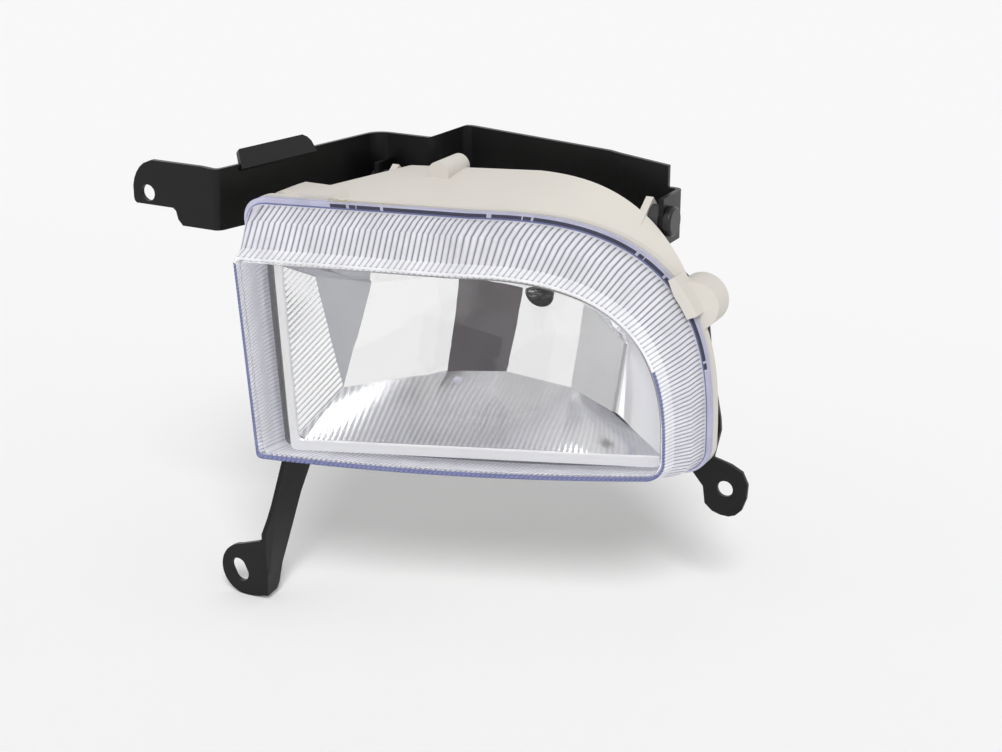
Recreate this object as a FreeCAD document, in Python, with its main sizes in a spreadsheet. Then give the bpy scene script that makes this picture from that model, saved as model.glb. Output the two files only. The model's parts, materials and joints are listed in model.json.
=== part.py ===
import FreeCAD, Part
import math
import os
import re
import Sketcher
from FreeCAD import Vector

# Automotive fog light: a clear ribbed lens on a moulded housing with a mirror reflector and a
# twist-lock bulb, carried by a pressed steel bracket with three fixing ears. The lamp tilts on two
# pivot screws, and an adjuster screw at the back sets its aim.
#
# Lamp coordinates, in millimetres: X runs across the car, -Y is forward, +Z is up, and (0, 0, 0) is
# the lower inboard corner of the lens front. Every finished piece is then shifted so that the
# model's origin is the centre of the upper ear's bolt hole, on that ear's front face.

X_AXIS = Vector(1, 0, 0)
Y_AXIS = Vector(0, 1, 0)
Z_AXIS = Vector(0, 0, 1)
OVERRUN = 1.0            # how far a cutting tool runs past the face it opens

os.makedirs("parts", exist_ok=True)
doc = FreeCAD.newDocument("FogLight")
sheet = doc.addObject("Spreadsheet::Sheet", "Sizes")

SIZES = {
    # Lens: sweep of its front face, wall, and the outline of the flat front panel
    "lens_sweep": 20.7, "lens_wall": 2.3, "panel_left_low": 0.3, "panel_left_high": -5.2,
    "panel_right": 157.0, "panel_crown": 76.7, "panel_left_crown": 80.0,
    "shoulder_across": 75.0, "shoulder_up": 5.0, "shoulder_power": 2.8,
    "panel_drop": 0.8, "panel_bow": 3.2, "rim_left_high": -3.6,
    # Each step of the lens: how far behind the panel, and how far it stands out on each side
    "wall_back": 5.0, "wall_left": 0.2, "wall_low": 0.4, "wall_right": 1.8, "wall_top": 2.4,
    "band_back": 9.0, "band_left": 0.3, "band_low": 0.8, "band_right": 6.7, "band_top": 12.0,
    "skirt_back": 14.0, "skirt_left": 2.6, "skirt_low": 1.2, "skirt_right": 7.6, "skirt_top": 15.1,
    "foot_back": 18.0, "foot_left": 4.6, "foot_low": 1.6, "foot_right": 8.4, "foot_top": 16.3,
    "flange_left": 6.2, "flange_low": 2.6, "flange_right": 10.3, "flange_top": 18.8,
    "flange_thick": 3.0, "seal_thick": 1.5, "seal_inset": 1.2, "seal_wide": 3.6,
    # Housing: front lip, walls and the rear face
    "lip_thick": 3.0, "body_inset": 2.0, "housing_wall": 2.5, "rear_y": 84.0, "rear_left": 14.0,
    "rear_right": 154.0, "rear_low": -2.0, "rear_crown": 104.0, "rear_left_crown": 99.0,
    "rear_across": 80.0, "rear_power": 2.5, "corner_pad_high": 100.0,
    "side_boss_x": 146.0, "side_boss_z": 60.5, "side_boss_radius": 10.0, "side_boss_start": 72.0,
    "side_boss_end": 92.0, "top_boss_x": 42.5, "top_boss_z": 101.5, "top_boss_radius": 4.6,
    "top_boss_start": 70.0, "top_boss_end": 87.0,
    # Reflector: a parabola of this focal length, cut to the rim outline
    "focal": 24.0, "vertex_y": 77.0, "mirror_wall": 2.0, "rim_back": 10.0, "mirror_ceiling": 56.0,
    "post_radius": 4.0, "post_start": 62.0, "case_screw_radius": 2.0, "case_screw_head": 4.0,
    "case_screw_rise": 2.4,
    # Bulb and its port
    "bulb_x": 83.0, "bulb_z": 58.5, "port_out": 17.0, "port_in": 12.5, "port_end": 92.0,
    "base_plug": 11.8, "base_disc": 16.5, "base_disc_thick": 4.0, "base_nose": 79.6,
    "ring_mid": 88.0, "ring_section": 1.4, "ring_reach": 12.4,
    "socket_wide": 21.0, "socket_high": 15.0, "socket_deep": 16.0, "socket_wall": 2.0,
    "terminal_wide": 6.3, "terminal_thick": 0.8, "terminal_long": 10.0, "terminal_pitch": 9.0,
    "glass_radius": 4.5, "glass_wall": 0.8, "glass_tip": 68.0, "ferrule_radius": 6.0,
    "ferrule_front": 77.2, "filament_radius": 0.6, "filament_long": 3.0, "filament_y": 71.5,
    "stem_radius": 0.4,
    # Bracket sheet, strap route and heights
    "sheet_steel": 2.0, "bend_radius": 5.0, "crease_radius": 2.5,
    "ear_x": -58.2, "ear_y": 18.0, "ear_z": 93.5, "ear_hole": 3.3,
    "strap_start_x": -66.0, "crease_x": -25.5, "inner_bend_x": -2.7, "inner_bend_y": 98.0,
    "jog_x": 24.0, "jog_end_x": 31.0, "jog_y": 113.0, "weld_x": 104.0, "weld_y": 102.5,
    "strap_end_x": 131.0, "strap_notch_x": 125.2, "pivot_flange_front": 85.0,
    "strap_low": 83.0, "strap_top": 108.0, "ear_low": 82.3, "ear_top": 106.8, "ear_step": 88.9,
    # Pivots
    "pivot_y": 90.0, "pivot_z": 89.0, "pivot_screw_radius": 2.5, "pivot_gap": 0.06,
    "pivot_head_radius": 5.8, "pivot_head_thick": 3.0, "pivot_flange_reach": 9.5,
    "lug_thick": 3.0, "right_lug_x": 121.5, "left_lug_x": 9.5, "left_tab_x": 4.0,
    "bush_sleeve": 4.0, "bush_collar": 5.8,
    # Adjuster
    "adjust_x": 132.5, "adjust_z": 44.0, "adjust_radius": 3.0, "adjust_gap": 0.06,
    "ball_y": 88.5, "ball_radius": 4.0, "socket_clear": 0.12, "claw_wall": 3.2,
    "adjust_tip": 87.0, "adjust_collar": 6.0, "adjust_head": 7.0, "adjust_head_long": 6.0,
    "grommet_hole": 5.0, "grommet_collar": 7.6, "grommet_thick": 1.6, "clip_radius": 5.6,
    "clip_thick": 1.0, "claw_rear_wall": 2.0, "claw_headroom": 0.3,
    # Legs and lower ears
    "left_leg_x": -10.0, "left_ear_x": -23.6, "left_ear_z": -61.0, "lower_slot_half": 3.6,
    "lower_slot_long": 10.2, "leg_front_y": 104.5, "right_ear_y": 98.0, "right_ear_x": 155.4,
    "right_ear_z": -19.4,
    # Breather
    "vent_x": 40.0, "vent_z": 22.0, "vent_tube": 4.0, "vent_tube_wall": 1.5, "vent_long": 6.0,
    "vent_cap_radius": 8.0, "vent_cap_long": 9.0,
}
for row, (alias, value) in enumerate(SIZES.items(), start=1):
    sheet.set(f"A{row}", alias)
    sheet.set(f"B{row}", str(value))
    sheet.setAlias(f"B{row}", alias)
doc.recompute()
finished = []


def size(alias):
    """A driving dimension, read from the sheet."""
    return float(sheet.get(alias))


def amount(text):
    """The value of a sum or difference of aliases and plain numbers."""
    total = 0.0
    for sign, word in re.findall(r"([+-]?)\s*([a-z_]+|[0-9.]+)", text):
        value = size(word) if word[0].isalpha() else float(word)
        total += -value if sign == "-" else value
    return total


def bound(text):
    """The same sum as an expression on the sheet's cells."""
    return re.sub(r"([a-z_]+)", r"Sizes.\1", text)


def put(item, where=("0", "0", "0"), rotation=None):
    """Place a finished piece: its own position, less the ear hole that is the model's origin."""
    if rotation is not None:
        item.Placement = FreeCAD.Placement(item.Placement.Base, rotation)
    for letter, text in zip("xyz", where):
        item.setExpression(f"Placement.Base.{letter}", f"{bound(text)} - Sizes.ear_{letter}")
    finished.append(item)


def shaped(label, shape):
    """A finished piece whose free shape is already in lamp coordinates."""
    item = doc.addObject("Part::Feature", label)
    item.Label = label
    item.Shape = shape
    put(item)


def origin_plane(body, role):
    return [plane for plane in body.Origin.OriginFeatures if plane.Role == role][0]


def outline_sketch(body, role, name, points):
    """A closed sketch of straight lines, each corner held to the sheet in both directions."""
    sketch = body.newObject("Sketcher::SketchObject", name)
    sketch.AttachmentSupport = [(origin_plane(body, role), "")]
    sketch.MapMode = "FlatFace"
    places = [Vector(amount(across), amount(along), 0) for across, along in points]
    for index, place in enumerate(places):
        sketch.addGeometry(Part.LineSegment(place, places[(index + 1) % len(places)]), False)
    for index in range(len(places)):
        sketch.addConstraint(
            Sketcher.Constraint("Coincident", index, 2, (index + 1) % len(places), 1))
    for index, place in enumerate(places):
        for kind, value, text in (("DistanceX", place.x, points[index][0]),
                                  ("DistanceY", place.y, points[index][1])):
            number = sketch.addConstraint(Sketcher.Constraint(kind, -1, 1, index, 1, value))
            sketch.setExpression(f"Constraints[{number}]", bound(text))
    return sketch


def turned(label, profile, where, rotation=None):
    """A body turned about its own Z from a profile of (radius, height) corners."""
    body = doc.addObject("PartDesign::Body", label)
    body.Label = label
    sketch = outline_sketch(body, "XZ_Plane", label + "_profile", profile)
    turn = body.newObject("PartDesign::Revolution", label + "_turn")
    turn.Profile = sketch
    turn.ReferenceAxis = (sketch, ["V_Axis"])
    turn.Angle = 360
    doc.recompute()
    put(body, where, rotation)
    return body


def prism(points, direction):
    """A solid swept from a flat polygon along a direction."""
    closed = [Vector(*point) for point in points]
    return Part.Face(Part.makePolygon(closed + closed[:1])).extrude(direction)


def cylinder(radius, start, direction, length):
    return Part.makeCylinder(radius, length, Vector(*start), direction)


def block(low, high):
    low, high = Vector(*low), Vector(*high)
    return Part.makeBox(high.x - low.x, high.y - low.y, high.z - low.z, low)


TURN_TO_Y = FreeCAD.Rotation(Z_AXIS, Y_AXIS)
TURN_TO_X = FreeCAD.Rotation(Z_AXIS, X_AXIS)
TURN_TO_MINUS_X = FreeCAD.Rotation(Z_AXIS, Vector(-1, 0, 0))

# ---------------------------------------------------------------- lamp outlines
sweep = math.radians(size("lens_sweep"))
LENS_ACROSS = Vector(math.cos(sweep), math.sin(sweep), 0)


def rounded_outline(spot, left_low, left_high, low, right, crown, left_crown,
                    across, up, power, radius, bow=0.0):
    """One closed outline: straight inboard side, a base that bows down, and a long curved
    outboard shoulder.

    spot turns (across, up) into a point, so the same outline serves the swept lens plane and the
    square rear face. The shoulder is a quarter of a superellipse about (across, up)."""
    low_end = low - 0.5 * bow
    foot = up - low_end
    small = 2.0
    lean = (left_high - left_low) / (left_crown - low)
    slope = (left_crown - crown) / (across - left_high)
    shoulder = []
    steps = 14
    for step in range(steps + 1):
        turn = 0.5 * math.pi * step / steps
        shoulder.append(spot(across + (right - across) * math.cos(turn) ** (2 / power),
                             up + (crown - up) * math.sin(turn) ** (2 / power)))
    curve = Part.BSplineCurve()
    curve.interpolate(shoulder)
    rise = math.sqrt(0.5)
    corner = (right - foot, up)
    base = [spot(left_low + small, low), spot(0.65 * right, low - bow), spot(right - foot, low_end)]
    edges = [
        (Part.Arc(*base) if bow else Part.LineSegment(base[0], base[2])).toShape(),
        Part.Arc(spot(right - foot, low_end), spot(corner[0] + foot * rise, corner[1] - foot * rise),
                 spot(right, up)).toShape(),
        curve.toShape(),
        Part.LineSegment(spot(across, crown),
                         spot(left_high + radius, left_crown - slope * radius)).toShape(),
        Part.Arc(spot(left_high + radius, left_crown - slope * radius),
                 spot(left_high + 0.3 * radius, left_crown - 0.3 * radius),
                 spot(left_high - lean * radius, left_crown - radius)).toShape(),
        Part.LineSegment(spot(left_high - lean * radius, left_crown - radius),
                         spot(left_low + lean * small, low + small)).toShape(),
        Part.Arc(spot(left_low + lean * small, low + small),
                 spot(left_low + 0.3 * small, low + 0.3 * small),
                 spot(left_low + small, low)).toShape(),
    ]
    return Part.Wire(edges)


def lens_outline(back, left=0.0, low=0.0, right=0.0, top=0.0, inset=0.0, radius=2.0,
                 level=False):
    """The front panel's outline, set back and grown on each side, in a plane parallel to it.
    The mirror's rim is level: its base doesn't bow, and its inboard side leans less."""
    left_high = size("rim_left_high" if level else "panel_left_high")
    drop, bow = (0.0, 0.0) if level else (size("panel_drop"), size("panel_bow"))
    def spot(across, up):
        return LENS_ACROSS * across + Vector(0, back, up)
    return rounded_outline(
        spot, size("panel_left_low") - left + inset, left_high - left + inset,
        inset - low - drop, size("panel_right") + right - inset, size("panel_crown") + top - inset,
        size("panel_left_crown") + top - inset, size("shoulder_across"), size("shoulder_up"),
        size("shoulder_power"), radius, bow)


STEP_RADII = {"wall": 2.5, "band": 3.5, "skirt": 6.0, "foot": 7.0}


def lens_step(name, inset=0.0, behind=0.0):
    grow = [size(f"{name}_{side}") for side in ("left", "low", "right", "top")]
    return lens_outline(size(name + "_back") + behind, *grow, inset=inset,
                        radius=STEP_RADII[name])


def flange_outline(back, inset=0.0):
    grow = [size(f"flange_{side}") for side in ("left", "low", "right", "top")]
    return lens_outline(back, *grow, inset=inset, radius=8.5 - 0.5 * inset)


def rear_outline(y, inset=0.0):
    """The housing's rear outline, square across the car."""
    def spot(across, up):
        return Vector(across, y, up)
    return rounded_outline(
        spot, size("rear_left") + inset, size("rear_left") + inset, size("rear_low") + inset,
        size("rear_right") - inset, size("rear_crown") - inset,
        size("rear_left_crown") - inset, size("rear_across"), size("shoulder_up"),
        size("rear_power"), 8.5)


def loft(wires):
    return Part.makeLoft(wires, True, True)


def slab(wire, thick):
    return Part.Face(wire).extrude(Y_AXIS * thick)


# ---------------------------------------------------------------- lens and its seal
def lens():
    """Flat clear panel, ribbed steps falling back around it, and the flange that is bonded on."""
    wall = size("lens_wall")
    names = ["wall", "band", "skirt", "foot"]
    outside = loft([lens_outline(0.0)] + [lens_step(name) for name in names])
    flange = slab(flange_outline(size("foot_back")), size("flange_thick"))
    hollow = [lens_outline(wall, inset=wall)]
    hollow += [lens_step(name, inset=wall, behind=wall) for name in names]
    hollow.append(lens_step("foot", inset=wall, behind=size("flange_thick") + OVERRUN))
    shaped("lens", outside.fuse(flange).cut(loft(hollow)).removeSplitter())


def lens_seal():
    """Bead of sealant between the lens flange and the housing lip."""
    front = size("foot_back") + size("flange_thick")
    inset = size("seal_inset")
    outer = slab(flange_outline(front, inset), size("seal_thick"))
    inner = slab(flange_outline(front - OVERRUN, inset + size("seal_wide")),
                 size("seal_thick") + 2 * OVERRUN)
    shaped("lens_seal", outer.cut(inner))


# ---------------------------------------------------------------- housing
CASE_SCREWS = [(52.0, 46.0), (114.0, 46.0), (83.0, 35.0)]


def housing():
    """Moulded shell: lip, tapering body, rear wall, bulb port, pivot lugs and adjuster claw."""
    front = size("foot_back") + size("flange_thick") + size("seal_thick")
    wall = size("housing_wall")
    inset = size("body_inset")
    rear = size("rear_y")
    lip = slab(flange_outline(front), size("lip_thick"))
    body = loft([flange_outline(front, inset), rear_outline(rear)])
    hollow = loft([flange_outline(front - OVERRUN, inset + wall),
                   rear_outline(rear - wall, wall)])
    bulb = (size("bulb_x"), size("bulb_z"))
    port = cylinder(size("port_out"), (bulb[0], rear - wall, bulb[1]), Y_AXIS,
                    size("port_end") - rear + wall)
    side = cylinder(size("side_boss_radius"),
                    (size("side_boss_x"), size("side_boss_start"), size("side_boss_z")),
                    Y_AXIS, size("side_boss_end") - size("side_boss_start"))
    side = side.cut(slab(flange_outline(front - 60.0, -30.0), 60.0))
    top = cylinder(size("top_boss_radius"),
                   (size("top_boss_x"), size("top_boss_start"), size("top_boss_z")),
                   Y_AXIS, size("top_boss_end") - size("top_boss_start"))
    pad_top = size("corner_pad_high")
    pad = prism([(-9.0, 26.0, 88.0), (-8.0, 26.0, pad_top - 6.0), (-3.0, 26.0, pad_top - 1.5),
                 (1.0, 26.0, pad_top), (19.0, 26.0, pad_top), (27.0, 26.0, 88.0)], Y_AXIS * 14.0)
    pad = pad.cut(slab(flange_outline(front - 60.0, -30.0), 60.0))
    shell = body
    for piece in (lip, port, side, top, pad):
        shell = shell.fuse(piece)
    shell = shell.fuse(pivot_lug(size("right_lug_x"))).fuse(pivot_lug(size("left_lug_x")))
    shell = shell.fuse(adjuster_claw())
    shell = shell.cut(hollow)
    shell = shell.fuse(lens_hook())
    tools = [cylinder(size("port_in"), (bulb[0], rear - wall - OVERRUN, bulb[1]), Y_AXIS,
                      size("port_end") - rear + wall + 2 * OVERRUN)]
    tools.append(cylinder(size("side_boss_radius") - wall,
                          (size("side_boss_x"), rear, size("side_boss_z")), Y_AXIS,
                          size("side_boss_end") - rear + OVERRUN))
    tools.append(cylinder(1.4, (size("top_boss_x"), size("top_boss_end") - 8.0,
                                size("top_boss_z")), Y_AXIS, 8.0 + OVERRUN))
    for across, up in CASE_SCREWS:
        tools.append(cylinder(size("case_screw_radius"), (across, rear - wall - OVERRUN, up),
                              Y_AXIS, wall + 2 * OVERRUN))
    tools.append(cylinder(size("vent_tube") - size("vent_tube_wall"),
                          (size("vent_x"), rear - wall - OVERRUN, size("vent_z")), Y_AXIS,
                          size("vent_long") + wall + 2 * OVERRUN))
    tube = cylinder(size("vent_tube"), (size("vent_x"), rear - wall, size("vent_z")), Y_AXIS,
                    size("vent_long") + wall)
    shell = shell.fuse(tube)
    for tool in tools:
        shell = shell.cut(tool)
    shaped("housing", shell.removeSplitter())


def pivot_lug(low_x):
    """Triangular ear on the housing shoulder that holds a pivot bush."""
    y, z = size("pivot_y"), size("pivot_z")
    thick = size("lug_thick")
    reach = size("bush_collar") + 0.6
    eye = cylinder(reach, (low_x, y, z), X_AXIS, thick)
    web = prism([(low_x, 72.0, z - 16.0), (low_x, y + 1.0, z - reach + 0.4),
                 (low_x, y + 4.5, z + 4.6), (low_x, y + 0.5, z + reach + 2.0),
                 (low_x, 80.0, z + 1.0), (low_x, 72.0, z - 8.0)], X_AXIS * thick)
    hole = cylinder(size("bush_sleeve"), (low_x - OVERRUN, y, z), X_AXIS, thick + 2 * OVERRUN)
    foot = prism([(low_x, 74.0, z - 16.0), (low_x, size("rear_y"), z - 16.0),
                  (low_x, size("rear_y"), z), (low_x, 74.0, z - 8.0)],
                 X_AXIS * (thick + (5.0 if low_x < size("bulb_x") else -5.0)))
    return eye.fuse(web).cut(hole).fuse(foot.cut(hole))


def adjuster_claw():
    """Open-bottomed box behind the rear wall that grips the adjuster's ball nut."""
    clear = size("ball_radius") + size("socket_clear")
    wall = size("claw_wall")
    x, y, z = size("adjust_x"), size("ball_y"), size("adjust_z")
    outer = block((x - clear - wall, size("rear_y") - 1.0, z - 6.0),
                  (x + clear + wall, y + clear + size("claw_rear_wall"), z + clear + wall))
    cavity = block((x - clear, y - clear, z - 6.0 - OVERRUN),
                   (x + clear, y + clear, z + clear + size("claw_headroom")))
    throat = size("adjust_radius") + 0.6
    slot = block((x - throat, y, z - 6.0 - OVERRUN), (x + throat, y + clear + 4.0, z + 3.8))
    tip = block((x - throat, size("rear_y"), z - 6.0 - OVERRUN),
                (x + throat, y, z + 3.8))
    return outer.cut(cavity).cut(slot).cut(tip)


def lens_hook():
    """Tab of the lip that turns over the lens flange at the outboard shoulder."""
    front = size("foot_back")
    depth = size("flange_thick") + size("seal_thick")
    gap = 0.15
    rim = slab(flange_outline(front - 2.2, -2.2), depth + 2.2 + size("lip_thick"))
    edge = slab(flange_outline(front - gap, -gap), depth + gap)
    inner = slab(flange_outline(front - 4.0, 1.6), depth + 4.0 + size("lip_thick"))
    window = prism([(140.5, 60.0, 72.5), (147.0, 60.0, 76.5), (157.0, 60.0, 61.5),
                    (146.0, 60.0, 57.0)], Y_AXIS * 40)
    back = slab(flange_outline(front + depth, 0.4), size("lip_thick"))
    return rim.cut(inner).cut(edge).common(window).fuse(back.cut(inner).common(window))


# ---------------------------------------------------------------- reflector
def parabola(behind):
    """Solid of the parabola's inside, its vertex set back by the wall when behind is given."""
    reach = 88.0
    vertex = size("vertex_y") + behind
    points = [Vector(reach * step / 12, vertex - (reach * step / 12) ** 2 / (4 * size("focal")), 0)
              for step in range(13)]
    curve = Part.BSplineCurve()
    curve.interpolate(points)
    rim = points[-1]
    face = Part.Face(Part.Wire([
        curve.toShape(), Part.LineSegment(rim, Vector(0, rim.y, 0)).toShape(),
        Part.LineSegment(Vector(0, rim.y, 0), points[0]).toShape()]))
    solid = face.revolve(Vector(0, 0, 0), Y_AXIS, 360)
    solid.translate(Vector(size("bulb_x"), 0, size("bulb_z")))
    return solid


def mirror_envelope(grow, deeper):
    """Straight-sided funnel from the rim back to the mirror's far end."""
    def spot(across, up):
        return Vector(across, size("vertex_y") + 1.0 + deeper, up)
    front = lens_outline(size("rim_back") - deeper, left=-9.8, low=-3.0, right=-3.0, top=-3.4,
                         inset=-grow, radius=2.0, level=True)
    back = rounded_outline(spot, 50.0 - grow, 50.0 - grow, 31.0 - grow, 136.0 + grow,
                           size("mirror_ceiling") + grow, size("mirror_ceiling") + grow,
                           84.0, 40.0, 2.6, 2.0)
    return loft([front, back])


def reflector():
    """Mirror shell with a sloping floor, a square rim and three posts for its screws."""
    wall = size("mirror_wall")
    shell = mirror_envelope(wall, 0.0).common(parabola(wall))
    rim = slab(lens_outline(size("rim_back"), left=-9.8, low=-3.0, right=-3.0, top=-3.4,
                            inset=-0.8, level=True), 2.0)
    shell = shell.fuse(rim)
    inner_face = size("rear_y") - size("housing_wall")
    for across, up in CASE_SCREWS:
        shell = shell.fuse(cylinder(size("post_radius"), (across, size("post_start"), up), Y_AXIS,
                                    inner_face - size("post_start")))
    shell = shell.cut(mirror_envelope(0.0, OVERRUN).common(parabola(0.0)))
    shell = shell.cut(cylinder(size("ferrule_radius") + 1.5,
                               (size("bulb_x"), size("glass_tip") - 2.0, size("bulb_z")),
                               Y_AXIS, 30.0))
    for across, up in CASE_SCREWS:
        shell = shell.cut(cylinder(size("case_screw_radius"), (across, inner_face - 10.0, up),
                                   Y_AXIS, 10.0 + OVERRUN))
    shaped("reflector", shell.removeSplitter())


def reflector_screws():
    """Three panhead screws through the rear wall into the reflector's posts."""
    rear = size("rear_y")
    screws = []
    for across, up in CASE_SCREWS:
        shank = cylinder(size("case_screw_radius"), (across, rear - size("housing_wall") - 9.0, up),
                         Y_AXIS, size("housing_wall") + 9.0)
        head = cylinder(size("case_screw_head"), (across, rear, up), Y_AXIS,
                        size("case_screw_rise"))
        recess = block((across - 2.2, rear + 1.2, up - 0.5), (across + 2.2, rear + 4.0, up + 0.5))
        cross = block((across - 0.5, rear + 1.2, up - 2.2), (across + 0.5, rear + 4.0, up + 2.2))
        screws.append(shank.fuse(head).cut(recess).cut(cross).removeSplitter())
    shaped("reflector_screws", Part.makeCompound(screws))


# ---------------------------------------------------------------- bracket
def offset_path(points, radii, offset):
    """Edges of a bent strip's side at an offset from its centre line, with rounded bends."""
    heading = [(points[i + 1] - points[i]).normalize() for i in range(len(points) - 1)]
    side = [Vector(-way.y, way.x, 0) for way in heading]
    stations = [points[0] + side[0] * offset]
    arcs = []
    for index in range(1, len(points) - 1):
        before, after = heading[index - 1], heading[index]
        turn = math.atan2(before.cross(after).z, before.dot(after))
        hand = 1 if turn > 0 else -1
        radius = radii[index - 1]
        reach = radius * math.tan(abs(turn) / 2)
        centre = points[index] - before * reach + side[index - 1] * hand * radius
        spoke = radius - hand * offset
        start = centre - side[index - 1] * hand * spoke
        end = centre - side[index] * hand * spoke
        middle = centre - (side[index - 1] + side[index]).normalize() * hand * spoke
        arcs.append((start, middle, end))
        stations += [start, end]
    stations.append(points[-1] + side[-1] * offset)
    edges = []
    for index in range(0, len(stations), 2):
        edges.append(Part.LineSegment(stations[index], stations[index + 1]).toShape())
        if index // 2 < len(arcs):
            edges.append(Part.Arc(*arcs[index // 2]).toShape())
    return edges, stations[0], stations[-1]


def bent_strip(points, radii, low, high):
    """Sheet strip standing on edge along a plan route, between two heights."""
    half = size("sheet_steel") / 2
    left, left_start, left_end = offset_path(points, radii, half)
    right, right_start, right_end = offset_path(points, radii, -half)
    caps = [Part.LineSegment(left_end, right_end).toShape(),
            Part.LineSegment(left_start, right_start).toShape()]
    wire = Part.Wire(Part.__sortEdges__(left + right + caps))
    strip = Part.Face(wire).extrude(Z_AXIS * (high - low))
    strip.translate(Vector(0, 0, low))
    return strip


def strap_route():
    """Centre line of the strap in plan, half a sheet behind its front face."""
    half = size("sheet_steel") / 2
    ear_line = size("ear_y") + half
    return [Vector(size("strap_start_x"), ear_line, 0), Vector(size("crease_x"), ear_line, 0),
            Vector(size("inner_bend_x"), size("inner_bend_y") + half, 0),
            Vector(size("jog_x"), size("inner_bend_y") + half, 0),
            Vector(size("jog_end_x"), size("jog_y") + half, 0),
            Vector(size("weld_x"), size("weld_y") + half, 0),
            Vector(size("strap_end_x") - half, size("weld_y") + half, 0),
            Vector(size("strap_end_x") - half, size("pivot_flange_front"), 0)]


def mounting_strap():
    """Upper ear, side arm with its stiffening tab, cranked rear arm and outboard pivot flange."""
    route = strap_route()
    bend, crease = size("bend_radius"), size("crease_radius")
    strip = bent_strip(route, [crease, 8.0, bend, bend, 20.0, crease], 70.0, 120.0)
    ear_top, ear_low, step = size("ear_top"), size("ear_low"), size("ear_step")
    top, low = size("strap_top"), size("strap_low")
    left = size("ear_x") - 7.0
    y, z = size("pivot_y"), size("pivot_z")
    flange_low, flange_top = z - size("pivot_flange_reach"), z + size("pivot_flange_reach")
    notch_x = size("strap_notch_x")
    mask = prism([(left + 1.2, 0, step), (-46.4, 0, step), (-45.0, 0, step - 1.1),
                  (-44.2, 0, ear_low + 2.3), (-42.1, 0, ear_low), (size("crease_x"), 0, ear_low),
                  (5.0, 0, low), (110.0, 0, low), (124.0, 0, flange_low), (136.0, 0, flange_low),
                  (136.0, 0, flange_top), (notch_x, 0, flange_top), (notch_x, 0, top - 1.0),
                  (100.0, 0, top + 2.0), (size("jog_end_x"), 0, top + 3.2),
                  (22.0, 0, top), (-4.0, 0, top), (size("crease_x"), 0, ear_top - 0.5),
                  (-32.4, 0, ear_top), (-55.8, 0, ear_top), (-59.6, 0, ear_top - 1.6),
                  (-61.6, 0, ear_top - 3.3), (-63.3, 0, ear_top - 5.6), (-64.5, 0, ear_top - 8.2),
                  (left, 0, ear_top - 11.0), (left, 0, step + 2.0), (left + 0.3, 0, step + 0.8)],
                 Y_AXIS * 140)
    strap = strip.common(mask)
    end = size("strap_end_x")
    strap = strap.cut(cylinder(size("pivot_screw_radius"), (end - 6.0, y, z), X_AXIS, 10.0))
    strap = strap.cut(cylinder(size("ear_hole"), (size("ear_x"), 0.0, size("ear_z")), Y_AXIS, 40.0))
    shaped("mounting_strap", strap.fuse(stiffening_tab(route)).removeSplitter())


def stiffening_tab(route):
    """Tab folded outwards from the side arm's top edge."""
    half = size("sheet_steel") / 2
    way = (route[2] - route[1]).normalize()
    outward = Vector(-way.y, way.x, 0)
    rise = Vector(0, 0, 1)
    tilt = math.radians(42)
    lean = outward * math.sin(tilt) + rise * math.cos(tilt)
    across = outward * math.cos(tilt) - rise * math.sin(tilt)
    top = size("strap_top")
    corners = []
    for along, up in ((10.5, -2.4), (48.5, -2.4), (48.5, 2.6), (47.6, 4.6), (45.8, 6.0),
                      (14.0, 6.0), (13.4, 5.4)):
        foot = route[1] + way * along + rise * (top - 2.0 + 0.02 * along)
        corners.append(foot + lean * up - across * half)
    return prism([tuple(corner) for corner in corners], across * (2 * half))


def left_leg():
    """Lower ear, raking side bar and upright welded to the outer face of the strap's side arm."""
    thick = size("sheet_steel")
    x = size("left_leg_x")
    y = size("ear_y")
    low_x, low_z = size("left_ear_x"), size("left_ear_z")
    route = strap_route()
    way = (route[2] - route[1]).normalize()
    outward = Vector(-way.y, way.x, 0)
    meet = route[1] + outward * (thick / 2)
    along = (x - meet.x) / way.x
    corner = meet + way * along
    bar = prism([(x, y, -42.8), (x, 22.5, -37.4), (x, 25.7, -32.6), (x, 34.1, -17.3),
                 (x, 51.0, 14.0), (x, corner.y, 14.0), (x, corner.y, -14.0), (x, 51.7, -24.3),
                 (x, 44.3, -33.7), (x, 35.7, -48.4), (x, 29.1, -59.2), (x, 26.3, -67.2),
                 (x, 24.4, -69.3), (x, y, -69.9)], Vector(-thick, 0, 0))
    upright_foot = [corner, corner + way * 19.0, corner + way * 19.0 + outward * thick,
                    corner + outward * thick]
    upright = prism([(spot.x, spot.y, -14.0) for spot in upright_foot], Z_AXIS * 116.0)
    chamfer = prism([(corner.x - 8, corner.y - 3, -15.0), (corner.x - 8, corner.y + 30, -15.0),
                     (corner.x - 8, corner.y + 30, 14.0)], X_AXIS * 30)
    upright = upright.cut(chamfer)
    knuckle = prism([(x, corner.y, -14.0), (x - thick, corner.y, -14.0),
                     (corner.x + outward.x * thick, corner.y + outward.y * thick, -14.0)],
                    Z_AXIS * 28.0)
    lobe = cylinder(11.3, (low_x + 2.6, y, low_z + 0.5), Y_AXIS, thick)
    plate = prism([(low_x + 0.8, y, low_z + 11.6), (-18.1, y, -47.8), (-13.0, y, -46.0),
                   (x, y, -42.8), (x, y, -69.9), (-17.2, y, -71.5), (low_x + 3.6, y, low_z - 10.8)],
                  Y_AXIS * thick)
    wide = size("lower_slot_half")
    half = size("lower_slot_long") / 2 - wide
    slot = cylinder(wide, (0, 0, half), Y_AXIS, 10.0).fuse(
        cylinder(wide, (0, 0, -half), Y_AXIS, 10.0)).fuse(block((-wide, 0, -half), (wide, 10, half)))
    slot.rotate(Vector(0, 0, 0), Y_AXIS, -25)
    slot.translate(Vector(low_x, y - 4.0, low_z))
    leg = bar.fuse(upright).fuse(knuckle).fuse(lobe).fuse(plate).cut(slot)
    shaped("left_leg", leg.removeSplitter())


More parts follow.
